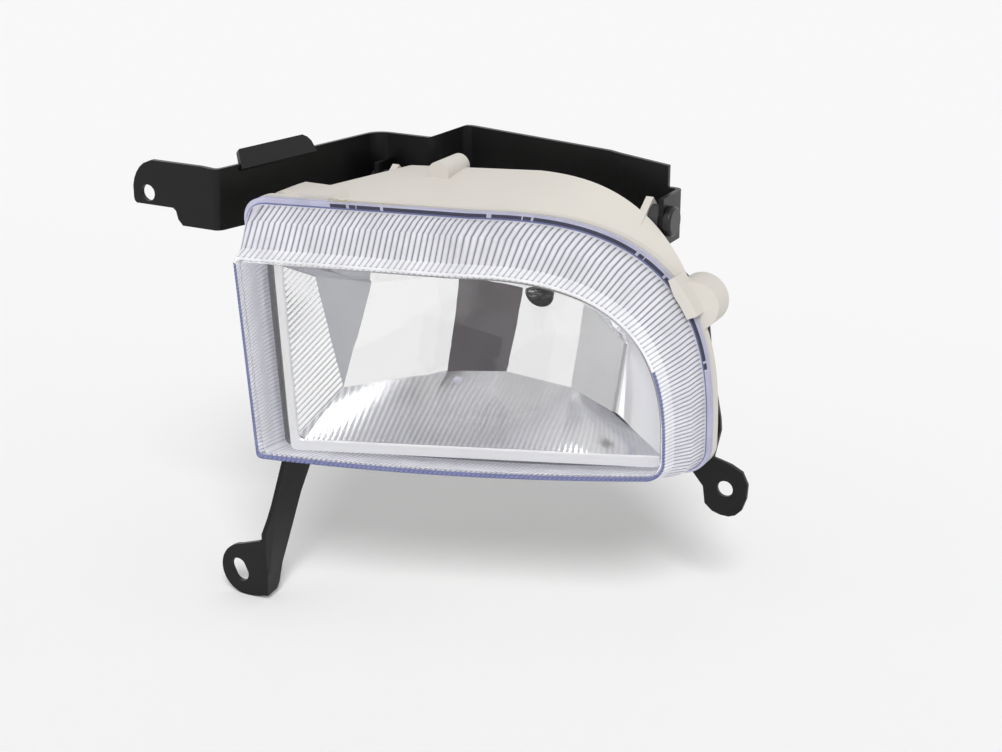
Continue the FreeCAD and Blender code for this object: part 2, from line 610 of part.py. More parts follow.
def right_leg():
    """Bar welded behind the strap's outboard end, cranked forward into the outboard ear."""
    thick = size("sheet_steel")
    y = size("leg_front_y")
    ear_y = size("right_ear_y")
    x, z = size("right_ear_x"), size("right_ear_z")
    foot_left, foot_right, foot_z, ear_top = 134.0, 150.2, 2.0, -7.0
    bar = prism([(108.0, y, 106.0), (115.0, y, 106.0), (117.0, y, 98.0), (124.5, y, 72.0),
                 (142.0, y, 56.0), (144.3, y, 37.0), (147.5, y, 18.0), (149.8, y, 7.0),
                 (foot_right, y, foot_z), (foot_left, y, foot_z), (130.0, y, 14.0),
                 (123.0, y, 40.0), (108.0, y, 92.0)], Y_AXIS * thick)
    crank = prism([(foot_left, y + thick, foot_z), (foot_left, y, foot_z),
                   (foot_left, ear_y, ear_top), (foot_left, ear_y + thick, ear_top)],
                  X_AXIS * (foot_right - foot_left))
    ear = prism([(137.0, ear_y, ear_top), (foot_right, ear_y, ear_top), (152.9, ear_y, -7.6),
                 (157.6, ear_y, -8.8), (162.3, ear_y, -11.1), (164.8, ear_y, -16.1),
                 (164.5, ear_y, -22.0), (162.7, ear_y, -27.3), (160.2, ear_y, -29.9),
                 (157.4, ear_y, -31.0), (153.9, ear_y, -30.9), (150.3, ear_y, -29.9),
                 (147.0, ear_y, -27.1), (146.0, ear_y, -20.0), (137.0, ear_y, -9.5)],
                Y_AXIS * thick)
    leg = bar.fuse(crank).fuse(ear)
    leg = leg.cut(cylinder(size("ear_hole"), (x, ear_y - 5.0, z), Y_AXIS, 12.0))
    leg = leg.cut(cylinder(size("grommet_hole"), (size("adjust_x"), y - 5.0, size("adjust_z")),
                           Y_AXIS, 12.0))
    shaped("right_leg", leg.removeSplitter())


def left_pivot_tab():
    """Plate welded to the front of the strap that carries the inboard pivot screw."""
    tab = doc.addObject("Part::Box", "left_tab_plate")
    tab.setExpression("Length", "Sizes.sheet_steel")
    tab.setExpression("Width", "Sizes.inner_bend_y - Sizes.pivot_flange_front")
    tab.setExpression("Height", "2 * Sizes.pivot_flange_reach")
    hole = doc.addObject("Part::Cylinder", "left_tab_hole")
    hole.setExpression("Radius", "Sizes.pivot_screw_radius")
    hole.setExpression("Height", "3 * Sizes.sheet_steel")
    hole.Placement.Rotation = TURN_TO_X
    hole.setExpression("Placement.Base.x", "-Sizes.sheet_steel")
    hole.setExpression("Placement.Base.y", "Sizes.pivot_y - Sizes.pivot_flange_front")
    hole.setExpression("Placement.Base.z", "Sizes.pivot_flange_reach")
    plate = doc.addObject("Part::Cut", "left_pivot_tab")
    plate.Base = tab
    plate.Tool = hole
    plate.Label = "left_pivot_tab"
    doc.recompute()
    put(plate, ("left_tab_x", "pivot_flange_front", "pivot_z - pivot_flange_reach"))


# ---------------------------------------------------------------- pivots
def pivot_screw(label, where, rotation, length):
    """Flat-headed screw: head on the outside of the bracket, plain shank through the bush."""
    profile = [("0", "0"), ("pivot_screw_radius", "0"),
               ("pivot_screw_radius", length), ("pivot_head_radius", length),
               ("pivot_head_radius", length + " + pivot_head_thick - 0.8"),
               ("pivot_head_radius - 0.8", length + " + pivot_head_thick"),
               ("0", length + " + pivot_head_thick")]
    turned(label, profile, where, rotation)


def pivot_bush(label, where, rotation, collar):
    """Nylon bush: sleeve pressed in the lug and a thick collar towards the bracket."""
    profile = [("pivot_screw_radius + pivot_gap", "0"), ("bush_sleeve", "0"),
               ("bush_sleeve", "lug_thick"), ("bush_collar", "lug_thick"),
               ("bush_collar", "lug_thick + " + collar),
               ("pivot_screw_radius + pivot_gap", "lug_thick + " + collar)]
    turned(label, profile, where, rotation)


# ---------------------------------------------------------------- bulb
def bulb_pieces():
    where = ("bulb_x", "base_nose", "bulb_z")
    turned("bulb_ferrule", [
        ("0", "ferrule_front - base_nose"), ("ferrule_radius", "ferrule_front - base_nose"),
        ("ferrule_radius", "0"), ("0", "0")], where, TURN_TO_Y)
    turned("bulb_glass", [
        ("0", "glass_tip - base_nose"), ("glass_radius - 2.5", "glass_tip - base_nose + 0.6"),
        ("glass_radius", "glass_tip - base_nose + 3.5"),
        ("glass_radius", "ferrule_front - base_nose"),
        ("glass_radius - glass_wall", "ferrule_front - base_nose"),
        ("glass_radius - glass_wall", "glass_tip - base_nose + 3.9"),
        ("glass_radius - 3.1", "glass_tip - base_nose + 1.5"),
        ("0", "glass_tip - base_nose + 1")], where, TURN_TO_Y)
    base_and_socket()
    turned("bulb_o_ring", [
        ("ring_reach - ring_section", "0"), ("ring_reach", "0.4"), ("ring_reach", "1.8"),
        ("ring_reach - ring_section", "2.2")],
        ("bulb_x", "ring_mid - 1.1", "bulb_z"), TURN_TO_Y)
    x, z = size("bulb_x"), size("bulb_z")
    y = size("filament_y")
    half = size("filament_long") / 2
    coil = cylinder(size("filament_radius"), (x - half, y, z), X_AXIS, 2 * half)
    shaped("bulb_filament", coil)
    stems = []
    stem = size("stem_radius")
    for hand in (-1, 1):
        start = x + hand * half
        upright = cylinder(stem, (start + hand * stem, y - stem, z), Y_AXIS,
                           size("ferrule_front") - y + stem)
        stems.append(upright)
    shaped("filament_stems", Part.makeCompound(stems))
    terminals = []
    disc_end = size("port_end") + size("base_disc_thick") + 0.1
    for hand in (-1, 1):
        mid = x + hand * size("terminal_pitch") / 2
        thick = size("terminal_thick") / 2
        wide = size("terminal_wide") / 2
        terminals.append(block((mid - thick, disc_end, z - wide),
                               (mid + thick, disc_end + size("terminal_long"), z + wide)))
    shaped("bulb_terminals", Part.makeCompound(terminals))


def base_and_socket():
    """Twist-lock base: plug with its ring groove, disc, and the plug socket behind it."""
    x, z = size("bulb_x"), size("bulb_z")
    nose, end = size("base_nose"), size("port_end") + 0.1
    disc = size("base_disc_thick")
    plug = cylinder(size("base_plug"), (x, nose, z), Y_AXIS, end - nose)
    plug = plug.fuse(cylinder(size("base_disc"), (x, end, z), Y_AXIS, disc))
    for angle in (90, 210, 330):
        wing = block((-3.5, end, size("base_disc") - 2.0), (3.5, end + disc, size("base_disc") + 3.0))
        wing.rotate(Vector(0, 0, 0), Y_AXIS, angle)
        wing.translate(Vector(x, 0, z))
        plug = plug.fuse(wing)
    wide, high = size("socket_wide") / 2, size("socket_high") / 2
    wall = size("socket_wall")
    back = end + disc
    socket = block((x - wide, back - 0.5, z - high), (x + wide, back + size("socket_deep"), z + high))
    socket = socket.cut(block((x - wide + wall, back, z - high + wall),
                              (x + wide - wall, back + size("socket_deep") + 1, z + high - wall)))
    groove_low = size("ring_mid") - 1.1
    groove = cylinder(size("base_plug") + 2, (x, groove_low, z), Y_AXIS, 2.2).cut(
        cylinder(size("ring_reach") - size("ring_section"), (x, groove_low - 1, z), Y_AXIS, 4.2))
    shaped("bulb_base", plug.cut(groove).fuse(socket).removeSplitter())


# ---------------------------------------------------------------- adjuster
def adjuster_pieces():
    front = "leg_front_y"
    gap = "0.05"
    turned("adjuster_screw", [
        ("0", "0"), ("adjust_radius - 0.6", "0"), ("adjust_radius", "0.8"),
        ("adjust_radius", f"{front} + sheet_steel + grommet_thick + {gap} - adjust_tip"),
        ("adjust_collar", f"{front} + sheet_steel + grommet_thick + {gap} - adjust_tip"),
        ("adjust_collar", f"{front} + sheet_steel + grommet_thick + 1.5 - adjust_tip"),
        ("adjust_head", f"{front} + sheet_steel + grommet_thick + 2.5 - adjust_tip"),
        ("adjust_head", f"{front} + sheet_steel + grommet_thick + adjust_head_long - adjust_tip"),
        ("0", f"{front} + sheet_steel + grommet_thick + adjust_head_long - adjust_tip")],
        ("adjust_x", "adjust_tip", "adjust_z"), TURN_TO_Y)
    turned("adjuster_grommet", [
        ("adjust_radius + adjust_gap", "0"), ("grommet_collar", "0"),
        ("grommet_collar", "grommet_thick"), ("grommet_hole", "grommet_thick"),
        ("grommet_hole", "grommet_thick + sheet_steel"),
        ("grommet_collar", "grommet_thick + sheet_steel"),
        ("grommet_collar", "grommet_thick + sheet_steel + grommet_thick"),
        ("adjust_radius + adjust_gap", "grommet_thick + sheet_steel + grommet_thick")],
        ("adjust_x", "leg_front_y - grommet_thick", "adjust_z"), TURN_TO_Y)
    turned("adjuster_clip", [
        ("adjust_radius", "0"), ("clip_radius", "0"), ("clip_radius", "clip_thick"),
        ("adjust_radius", "clip_thick")],
        ("adjust_x", "leg_front_y - grommet_thick - clip_thick - 0.05", "adjust_z"), TURN_TO_Y)
    centre = Vector(size("adjust_x"), size("ball_y"), size("adjust_z"))
    ball = Part.makeSphere(size("ball_radius"), centre)
    bore = cylinder(size("adjust_radius") + size("adjust_gap"),
                    (centre.x, centre.y - 10, centre.z), Y_AXIS, 20.0)
    shaped("adjuster_nut", ball.cut(bore))


def vent_cap():
    """Soft cap over the breather tube, open behind its skirt."""
    turned("vent_cap", [
        ("vent_tube", "0"), ("vent_cap_radius - 2", "0"), ("vent_cap_radius", "3"),
        ("vent_cap_radius", "vent_cap_long - 1"), ("vent_cap_radius - 1", "vent_cap_long"),
        ("0", "vent_cap_long"), ("0", "vent_long"), ("vent_tube", "vent_long")],
        ("vent_x", "rear_y", "vent_z"), TURN_TO_Y)


lens()
lens_seal()
housing()
reflector()
reflector_screws()
mounting_strap()
left_leg()
right_leg()
left_pivot_tab()
pivot_screw("right_pivot_screw", ("right_lug_x - 1", "pivot_y", "pivot_z"), TURN_TO_X,
            "strap_end_x - right_lug_x + 1")
pivot_screw("left_pivot_screw", ("left_lug_x + lug_thick + 1", "pivot_y", "pivot_z"),
            TURN_TO_MINUS_X, "left_lug_x + lug_thick + 1 - left_tab_x")
pivot_bush("right_pivot_bush", ("right_lug_x", "pivot_y", "pivot_z"), TURN_TO_X,
           "strap_end_x - sheet_steel - right_lug_x - lug_thick - 0.1")
pivot_bush("left_pivot_bush", ("left_lug_x + lug_thick", "pivot_y", "pivot_z"), TURN_TO_MINUS_X,
           "left_lug_x - left_tab_x - sheet_steel - 0.1")
bulb_pieces()
adjuster_pieces()
vent_cap()
doc.recompute()

# ---------------------------------------------------------------- checks and output
for item in doc.Objects:
    if "Invalid" in item.State or "Error" in item.State:
        raise RuntimeError(f"{item.Label} failed: {item.State}")
for item in finished:
    shape = item.Shape
    if shape.isNull() or not shape.isValid() or shape.Volume <= 0:
        raise RuntimeError(f"{item.Label} has no valid shape")
for item in finished:
    item.Shape.exportStep(f"parts/{item.Label}.step")
    box = item.Shape.BoundBox
    print(f"{item.Label:20s} solids {len(item.Shape.Solids)} volume {item.Shape.Volume / 1000:8.2f} cm3 "
          f"x {box.XMin:7.1f} {box.XMax:7.1f} y {box.YMin:7.1f} {box.YMax:7.1f} "
          f"z {box.ZMin:7.1f} {box.ZMax:7.1f}")
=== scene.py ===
import json
import math

import bmesh
import bpy
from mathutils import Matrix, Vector

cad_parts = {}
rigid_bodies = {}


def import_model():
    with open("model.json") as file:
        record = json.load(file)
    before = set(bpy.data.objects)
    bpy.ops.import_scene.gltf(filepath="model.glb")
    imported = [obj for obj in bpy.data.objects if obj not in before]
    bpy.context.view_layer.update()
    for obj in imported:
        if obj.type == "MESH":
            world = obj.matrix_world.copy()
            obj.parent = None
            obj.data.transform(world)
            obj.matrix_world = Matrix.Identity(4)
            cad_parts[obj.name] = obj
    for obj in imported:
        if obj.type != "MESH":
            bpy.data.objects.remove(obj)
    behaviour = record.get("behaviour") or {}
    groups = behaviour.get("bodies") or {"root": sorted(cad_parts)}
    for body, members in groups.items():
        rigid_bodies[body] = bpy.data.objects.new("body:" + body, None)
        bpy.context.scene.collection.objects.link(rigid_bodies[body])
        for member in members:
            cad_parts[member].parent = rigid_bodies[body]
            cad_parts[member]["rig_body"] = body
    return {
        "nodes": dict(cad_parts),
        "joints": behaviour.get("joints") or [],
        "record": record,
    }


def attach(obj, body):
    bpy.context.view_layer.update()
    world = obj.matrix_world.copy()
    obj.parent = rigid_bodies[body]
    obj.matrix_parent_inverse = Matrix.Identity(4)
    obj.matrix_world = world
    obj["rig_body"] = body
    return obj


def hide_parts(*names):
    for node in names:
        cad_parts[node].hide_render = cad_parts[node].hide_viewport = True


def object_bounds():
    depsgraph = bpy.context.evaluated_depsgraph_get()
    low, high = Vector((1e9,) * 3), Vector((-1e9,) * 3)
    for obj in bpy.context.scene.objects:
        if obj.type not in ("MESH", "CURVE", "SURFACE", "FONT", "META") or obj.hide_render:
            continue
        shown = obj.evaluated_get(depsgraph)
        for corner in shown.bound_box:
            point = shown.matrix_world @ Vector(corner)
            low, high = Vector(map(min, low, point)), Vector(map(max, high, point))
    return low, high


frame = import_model()
cad_low, cad_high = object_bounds()

# ---------------------------------------------------------------- the lamp's own coordinates
# Lengths below are in millimetres from the lower inboard corner of the front panel: x runs
# outboard, y runs back into the car and z up. The tilt joint says where that corner is.
MM = 0.001
TILT = next(joint for joint in frame["joints"] if joint["name"] == "lamp_tilt")
LAMP = Vector(TILT["pos_m"]) - Vector((67.0, 90.0, 89.0)) * MM
SWEEP = math.radians(20.7)      # the front panel sweeps back by this much
ALONG = Vector((math.cos(SWEEP), math.sin(SWEEP), 0.0))


def at(x, y, z):
    """A point in the lamp's millimetres, as metres in the row frame."""
    return LAMP + Vector((x, y, z)) * MM


def on_panel(across, back, up):
    """A point across the swept front, back from it and up it, in the row frame."""
    return LAMP + (ALONG * across + Vector((0.0, back, up))) * MM


# ---------------------------------------------------------------- the lens outline
FLUTE = 6                                       # columns of vertices to one flute
# Flutes along the outline's stretches: base, lower right corner, outboard sweep, top, upper left
# corner, inboard side, lower left corner
FLUTES = (80, 8, 70, 36, 2, 54, 1)
FINER = -0.3                                    # how much closer the outboard flutes stand
PANEL_WIDE = 157.0
CROWN, LEFT_CROWN = 76.7, 80.0                  # the panel's height, outboard and inboard
SHOULDER = (75.0, 5.0)                          # the sweep's top is this far across, its foot
                                                # this far up
SWEEP_POWER = 2.8                               # above 2, the sweep is squarer than an ellipse
SWEEP_STEPS = 160
BASE_CORNER = 2.0                               # radius of the lower left corner


def evenly(points, count, ease=0.0):
    """count points along a line through points, without its last point. They are evenly spaced,
    or with ease below 0 closer together at the start."""
    reach = [0.0]
    for a, b in zip(points, points[1:]):
        reach.append(reach[-1] + math.dist(a, b))
    found, k = [], 0
    for i in range(count):
        share = i / count
        want = reach[-1] * (share + ease * share * (1.0 - share))
        while reach[k + 1] < want:
            k += 1
        t = (want - reach[k]) / max(reach[k + 1] - reach[k], 1e-9)
        found.append(tuple(p + (q - p) * t for p, q in zip(points[k], points[k + 1])))
    return found


def curved(a, through, b):
    """A short curve from a to b by way of through."""
    found, steps = [], 12
    for i in range(steps + 1):
        t = i / steps
        found.append(tuple((1 - t) ** 2 * p + 2 * t * (1 - t) * (2 * m - (p + q) / 2) + t * t * q
                           for p, m, q in zip(a, through, b)))
    return found


def bowed(a, through, b):
    """A long shallow curve from a to b by way of through."""
    found, steps = [], 40
    for i in range(steps + 1):
        x = a[0] + (b[0] - a[0]) * i / steps
        la = (x - through[0]) * (x - b[0]) / ((a[0] - through[0]) * (a[0] - b[0]))
        lm = (x - a[0]) * (x - b[0]) / ((through[0] - a[0]) * (through[0] - b[0]))
        lb = (x - a[0]) * (x - through[0]) / ((b[0] - a[0]) * (b[0] - through[0]))
        found.append((x, a[1] * la + through[1] * lm + b[1] * lb))
    return found


def outline(left, low, right, top, inset=0.0, radius=2.0, level=False):
    """(across, up) points round the lens, grown by left, low, right and top from the panel. The
    base bows down, except on the mirror's level rim, whose side leans less too."""
    left_low, left_high = 0.3 - left + inset, (-3.6 if level else -5.2) - left + inset
    drop, bow = (0.0, 0.0) if level else (0.8, 3.2)
    low, right = inset - low - drop, PANEL_WIDE + right - inset
    crown, left_crown = CROWN + top - inset, LEFT_CROWN + top - inset
    across, up = SHOULDER
    low_end = low - 0.5 * bow
    foot = up - low_end
    lean = (left_high - left_low) / (left_crown - low)
    slope = (left_crown - crown) / (across - left_high)
    turn = [math.pi / 2 * i / SWEEP_STEPS for i in range(SWEEP_STEPS + 1)]
    arc = [(right - foot + foot * math.sin(t), up - foot * math.cos(t)) for t in turn]
    bend = 2 / SWEEP_POWER
    sweep = [(across + (right - across) * math.cos(t) ** bend if t < 1.5707 else across,
              up + (crown - up) * math.sin(t) ** bend) for t in turn]
    high_a = (left_high + radius, left_crown - slope * radius)
    high_b = (left_high - lean * radius, left_crown - radius)
    low_a = (left_low + lean * BASE_CORNER, low + BASE_CORNER)
    low_b = (left_low + BASE_CORNER, low)
    stretches = (
        bowed(low_b, (0.65 * right, low - bow), (right - foot, low_end)),
        arc,
        sweep,
        [(across, crown), high_a],
        curved(high_a, (left_high + 0.3 * radius, left_crown - 0.3 * radius), high_b),
        [high_b, low_a],
        curved(low_a, (left_low + 0.3 * BASE_CORNER, low + 0.3 * BASE_CORNER), low_b))
    points = []
    for stretch, count in zip(stretches, FLUTES):
        points += evenly(stretch, count * FLUTE, FINER if stretch is sweep else 0.0)
    return points


def dip(i):
    """How far column i lies down its flute: 0 on the crest, 1 in the sharp valley."""
    return 1.0 - abs(math.sin(math.pi * (i % FLUTE) / FLUTE))


def fluted(points, depth):
    """The outline with a row of rounded flutes, depth deep, that meet in sharp valleys."""
    found = []
    for i, (x, y) in enumerate(points):
        ax, ay = points[i - 1]
        bx, by = points[(i + 1) % len(points)]
        run = math.hypot(bx - ax, by - ay) or 1.0
        cut = depth * dip(i)
        found.append((x - (by - ay) / run * cut, y + (bx - ax) / run * cut))
    return found


# ---------------------------------------------------------------- materials
def nodes_of(name):
    material = bpy.data.materials.new(name)
    material.use_nodes = True
    tree = material.node_tree
    return material, tree, tree.nodes["Principled BSDF"]


def add(tree, kind, inputs=(), **settings):
    """A shader node with its settings, and its inputs set to values or joined to sockets."""
    node = tree.nodes.new(kind)
    for key, value in settings.items():
        setattr(node, key, value)
    for key, value in dict(inputs).items():
        if isinstance(value, bpy.types.NodeSocket):
            tree.links.new(value, node.inputs[key])
        else:
            node.inputs[key].default_value = value
    return node


def surface(name, colour, rough, metal=0.0, spread=0.06, grain=900.0, bump=0.02, shine=0.5):
    """A finish whose colour and roughness vary a little, with a fine grain."""
    material, tree, shader = nodes_of(name)
    place = add(tree, "ShaderNodeTexCoord").outputs["Object"]
    cloud = add(tree, "ShaderNodeTexNoise", {"Vector": place, "Scale": 35.0, "Detail": 4.0})
    light = tuple(min(1.0, c * (1 + spread)) for c in colour) + (1.0,)
    dark = tuple(c * (1 - spread) for c in colour) + (1.0,)
    mix = add(tree, "ShaderNodeMixRGB", {"Fac": cloud.outputs["Fac"], "Color1": dark,
                                         "Color2": light})
    tree.links.new(mix.outputs[0], shader.inputs["Base Color"])
    fine = add(tree, "ShaderNodeTexNoise", {"Vector": place, "Scale": grain, "Detail": 3.0})
    level = add(tree, "ShaderNodeMapRange", {"Value": fine.outputs["Fac"], "To Min": rough * 0.85,
                                             "To Max": min(1.0, rough * 1.2)})
    tree.links.new(level.outputs[0], shader.inputs["Roughness"])
    relief = add(tree, "ShaderNodeBump", {"Height": fine.outputs["Fac"], "Strength": bump * 10,
                                          "Distance": 0.0001})
    tree.links.new(relief.outputs[0], shader.inputs["Normal"])
    shader.inputs["Metallic"].default_value = metal
    shader.inputs["Specular IOR Level"].default_value = shine
    return material


GLOW = 0.62                     # how much light hazy plastic gives back, and lets through


def clear(name, face_on, edge_on, haze, haze_colour, valley=None):
    """Clear plastic: tinted more at a glancing look, with some haze in it. With a valley colour,
    the haze takes that colour along the bottoms of the flutes, as painted shade in the valleys."""
    material, tree, shader = nodes_of(name)
    tree.nodes.remove(shader)
    out = tree.nodes["Material Output"]
    layer = add(tree, "ShaderNodeLayerWeight", {"Blend": 0.5})
    power = add(tree, "ShaderNodeMath", {0: layer.outputs["Facing"], 1: 2.0}, operation="POWER")
    tint = add(tree, "ShaderNodeMixRGB", {"Fac": power.outputs[0], "Color1": face_on + (1.0,),
                                          "Color2": edge_on + (1.0,)})
    glass = add(tree, "ShaderNodeBsdfGlass", {"Color": tint.outputs[0], "Roughness": 0.0,
                                              "IOR": 1.5})
    # The flute attribute says how deep in its valley a point lies; it places the painted shade.
    depth = add(tree, "ShaderNodeAttribute", attribute_name="flute").outputs["Fac"]
    shade = add(tree, "ShaderNodeMixRGB", {"Fac": depth, "Color1": haze_colour + (1.0,),
                                           "Color2": (valley or haze_colour) + (1.0,)})
    through = add(tree, "ShaderNodeMixRGB", {"Fac": 1.0, "Color1": shade.outputs[0],
                                             "Color2": (GLOW, GLOW, GLOW, 1.0)},
                  blend_type="MULTIPLY")
    milk = add(tree, "ShaderNodeBsdfTranslucent", {"Color": through.outputs[0]})
    chalk = add(tree, "ShaderNodeBsdfDiffuse", {"Color": through.outputs[0]})
    cloudy = add(tree, "ShaderNodeAddShader", {0: milk.outputs[0], 1: chalk.outputs[0]})
    place = add(tree, "ShaderNodeTexCoord").outputs["Object"]
    patchy = add(tree, "ShaderNodeTexNoise", {"Vector": place, "Scale": 90.0, "Detail": 3.0})
    share = add(tree, "ShaderNodeMapRange", {"Value": patchy.outputs["Fac"], "To Min": haze * 0.7,
                                             "To Max": haze * 1.3})
    mix = add(tree, "ShaderNodeMixShader", {0: share.outputs[0], 1: glass.outputs[0],
                                            2: cloudy.outputs[0]})
    tree.links.new(mix.outputs[0], out.inputs["Surface"])
    return material


# The valley colours below are painted shade: dark lines along the bottoms of the flutes.
LENS_FACE = clear("lens_panel", (1.0, 1.0, 1.0), (0.93, 0.93, 0.97), 0.004, (0.9, 0.9, 1.0))
LENS_RIBS = clear("lens_ribs", (0.98, 0.98, 1.0), (0.74, 0.75, 0.96), 0.76, (0.94, 0.94, 0.97),
                  valley=(0.07, 0.07, 0.11))
LENS_EDGE = clear("lens_edge", (0.62, 0.64, 0.86), (0.30, 0.33, 0.62), 0.80, (0.21, 0.23, 0.42),
                  valley=(0.05, 0.06, 0.15))
LENS_STEP = clear("lens_step", (0.98, 0.98, 1.0), (0.74, 0.75, 0.96), 0.76, (1.0, 1.0, 1.0),
                  valley=(0.42, 0.42, 0.49))
LENS_INSIDE = clear("lens_inside", (0.99, 0.99, 1.0), (0.80, 0.80, 0.96), 0.75,
                    (1.0, 1.0, 1.0), valley=(0.55, 0.55, 0.60))
# Painted highlight: the pale copy of the edge material along the top of the panel's edge
LENS_EDGE_HIGHLIGHT = clear("lens_edge_highlight", (0.99, 0.99, 1.0), (0.85, 0.85, 0.97), 0.75, (1.0, 1.0, 1.0))
# Painted shade: a dark band on the back of the lens's inner wall, where the housing wall behind it
# is shaded
LENS_SHADE = clear("lens_shade", (0.55, 0.55, 0.6), (0.4, 0.4, 0.45), 0.8, (0.24, 0.24, 0.24))
LENS_LIP = clear("lens_lip", (0.94, 0.94, 1.0), (0.66, 0.67, 0.90), 0.60, (0.80, 0.80, 0.94))
LENS_BOND = clear("lens_bond", (0.3, 0.3, 0.4), (0.2, 0.2, 0.3), 0.75, (0.09, 0.09, 0.12))
FINISH = {
    "clear_lens": LENS_FACE,
    "sealant": surface("sealant", (0.045, 0.05, 0.09), 0.5, spread=0.3),
    "housing_plastic": surface("housing_plastic", (0.645, 0.615, 0.565), 0.55, grain=1500.0,
                               spread=0.03),
    "mirror_coat": surface("mirror_coat", (0.97, 0.97, 0.965), 0.05, metal=1.0, spread=0.01,
                           bump=0.0, grain=300.0),
    "zinc_screw": surface("zinc_screw", (0.68, 0.68, 0.66), 0.3, metal=1.0),
    "black_steel": surface("black_steel", (0.003, 0.003, 0.0032), 0.36, spread=0.2, bump=0.03,
                           shine=0.28),
    "black_screw": surface("black_screw", (0.010, 0.010, 0.011), 0.3, spread=0.2, shine=0.4),
    "black_nylon": surface("black_nylon", (0.016, 0.016, 0.016), 0.5, spread=0.2),
    "bulb_metal": surface("bulb_metal", (0.7, 0.7, 0.68), 0.25, metal=1.0),
    "bulb_glass": clear("bulb_glass", (0.97, 0.97, 0.97), (0.85, 0.85, 0.85), 0.0, (0.9, 0.9, 0.9)),
    "bulb_plastic": surface("bulb_plastic", (0.025, 0.025, 0.025), 0.5, spread=0.2),
    "ring_rubber": surface("ring_rubber", (0.02, 0.02, 0.02), 0.7, spread=0.2),
    "filament_wire": surface("filament_wire", (0.35, 0.34, 0.33), 0.4, metal=1.0),
    "terminal_brass": surface("terminal_brass", (0.72, 0.58, 0.33), 0.3, metal=1.0),
    "white_nylon": surface("white_nylon", (0.78, 0.77, 0.73), 0.45),
}


def ribbed_mirror(name, crest, valley, rough, pitch, smooth_from, smooth_to):
    """Mirror coat over fine ribs that run front to back and fade out towards the back. The colour
    is painted shade: it goes from the crest colour to the darker valley colour across each rib.
    """
    material, tree, shader = nodes_of(name)
    place = add(tree, "ShaderNodeTexCoord").outputs["Object"]
    # At a scale of 1 the wave repeats 20 times in 2 pi metres
    lines = add(tree, "ShaderNodeTexWave", {"Vector": place, "Scale": 2 * math.pi / (20 * pitch)})
    depth = add(tree, "ShaderNodeMapRange", {
        "Value": add(tree, "ShaderNodeSeparateXYZ", {0: place}).outputs["Y"],
        "From Min": smooth_from, "From Max": smooth_to, "To Min": 1.0, "To Max": 0.15})
    share = add(tree, "ShaderNodeMath", {0: lines.outputs["Fac"], 1: depth.outputs[0]},
                operation="MULTIPLY")
    mix = add(tree, "ShaderNodeMixRGB", {"Fac": share.outputs[0], "Color1": crest + (1.0,),
                                         "Color2": valley + (1.0,)})
    tree.links.new(mix.outputs[0], shader.inputs["Base Color"])
    shader.inputs["Metallic"].default_value = 1.0
    shader.inputs["Roughness"].default_value = rough
    return material


# Painted shade: the reflector's floor is a grey copy of the mirror coat, darker in the rib valleys
MIRROR_FLOOR_SHADED = ribbed_mirror("mirror_floor_painted_shade", (0.66, 0.66, 0.68), (0.46, 0.46, 0.48), 0.24, 0.002,
                             LAMP.y + 0.035, LAMP.y + 0.060)
# Painted shade: a darker grey copy of the mirror coat for the plain inboard leaf and a ceiling
# corner
MIRROR_SIDE_SHADED = surface("mirror_side_painted_shade", (0.47, 0.475, 0.50), 0.22, metal=1.0, spread=0.12, bump=0.0)
MIRROR_RIM = surface("mirror_rim", (1.0, 1.0, 1.0), 0.4, metal=0.3, spread=0.01, bump=0.0)
MIRROR_END = surface("mirror_end", (1.0, 1.0, 1.0), 0.45, metal=0.5, spread=0.01, bump=0.0)
SLOTS = {part["node"]: part["material_slot"] for part in frame["record"]["subparts"]}
for name, node in frame["nodes"].items():
    node.data.materials.clear()
    node.data.materials.append(FINISH[SLOTS[name]])


# ---------------------------------------------------------------- building pieces
def piece(name, mesh, body, slot, stands_for=(), materials=()):
    """A new piece of the lamp that rides on a CAD body."""
    made = bpy.data.objects.new(name, mesh)
    bpy.context.scene.collection.objects.link(made)
    for material in materials or (FINISH[slot],):
        mesh.materials.append(material)
    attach(made, body)
    if stands_for:
        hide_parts(*stands_for)
    return made


def meshed(name, points, faces, crease, groups=None):
    """A mesh, smooth except over creases sharper than crease degrees. groups gives the material
    index of each face."""
    mesh = bpy.data.meshes.new(name)
    mesh.from_pydata([tuple(p) for p in points], [], faces)
    if groups:
        mesh.polygons.foreach_set("material_index", groups)
    mesh.polygons.foreach_set("use_smooth", [True] * len(mesh.polygons))
    mesh.set_sharp_from_angle(angle=math.radians(crease))
    return mesh


FLAT = math.radians(1.0)        # faces this close to one plane are joined
EDGE_TURN = math.radians(32)    # an edge that turns more than this is rounded


def softened(node, name, width):
    """A copy of a CAD node with its edges rounded by width millimetres, which stands for it."""
    source = frame["nodes"][node]
    body = source["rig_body"]
    mesh = source.data.copy()
    work = bmesh.new()
    work.from_mesh(mesh)
    bmesh.ops.remove_doubles(work, verts=work.verts, dist=0.00001)
    bmesh.ops.dissolve_limit(work, angle_limit=FLAT, verts=work.verts, edges=work.edges)
    work.to_mesh(mesh)
    work.free()
    mesh.materials.clear()
    if "custom_normal" in mesh.attributes:
        mesh.attributes.remove(mesh.attributes["custom_normal"])
    mesh.polygons.foreach_set("use_smooth", [True] * len(mesh.polygons))
    mesh.set_sharp_from_angle(angle=EDGE_TURN)
    made = piece(name, mesh, body, SLOTS[node], (node,))
    bevel = made.modifiers.new("edges", "BEVEL")
    bevel.width = width * MM
    bevel.segments = 2
    bevel.limit_method = "ANGLE"
    bevel.angle_limit = EDGE_TURN
    bevel.harden_normals = True


# ---------------------------------------------------------------- the lens
WALL = 2.0                      # how thick the lens is
LENS_MATERIALS = (LENS_FACE, LENS_RIBS, LENS_EDGE, LENS_INSIDE, LENS_LIP, LENS_BOND, LENS_EDGE_HIGHLIGHT,
                  LENS_SHADE, LENS_STEP)
CLEAR, RIBS, EDGE, INSIDE, LIP, BOND, RIM, SHADE, STEP = range(len(LENS_MATERIALS))
